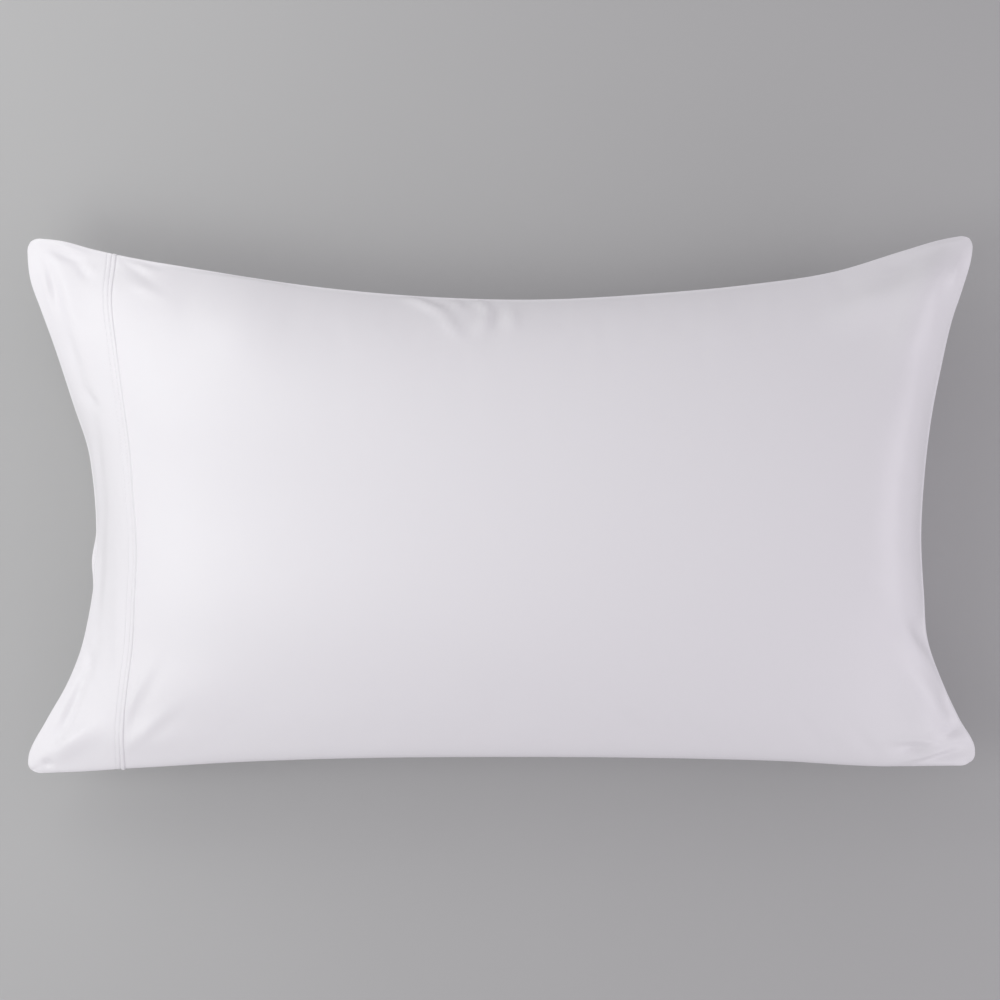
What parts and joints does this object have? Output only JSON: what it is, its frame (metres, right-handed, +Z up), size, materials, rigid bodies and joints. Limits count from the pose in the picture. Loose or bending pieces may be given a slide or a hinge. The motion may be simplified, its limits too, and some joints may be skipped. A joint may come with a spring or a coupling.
{
  "type": "pillowcase",
  "caption": "Plain white sateen pillowcase, filled and lying on its back: crowned face, drawn-in sides, thin corner ears and a deep tucked hem across its open end",
  "frame": {"origin": "under the middle of the filled case's bounding box, on the surface it lies on", "axes": "+X runs along the case from its open, hemmed end to its sewn end; +Y runs across it to its upper long side; +Z is up, out of its face"},
  "size_m": [0.8878, 0.5016, 0.1864],
  "materials": {
    "sateen": "white cotton sateen, smooth, with a soft sheen"
  },
  "bodies": {
    "root": {"pillowcase": "sateen"}
  },
  "joints": []
}
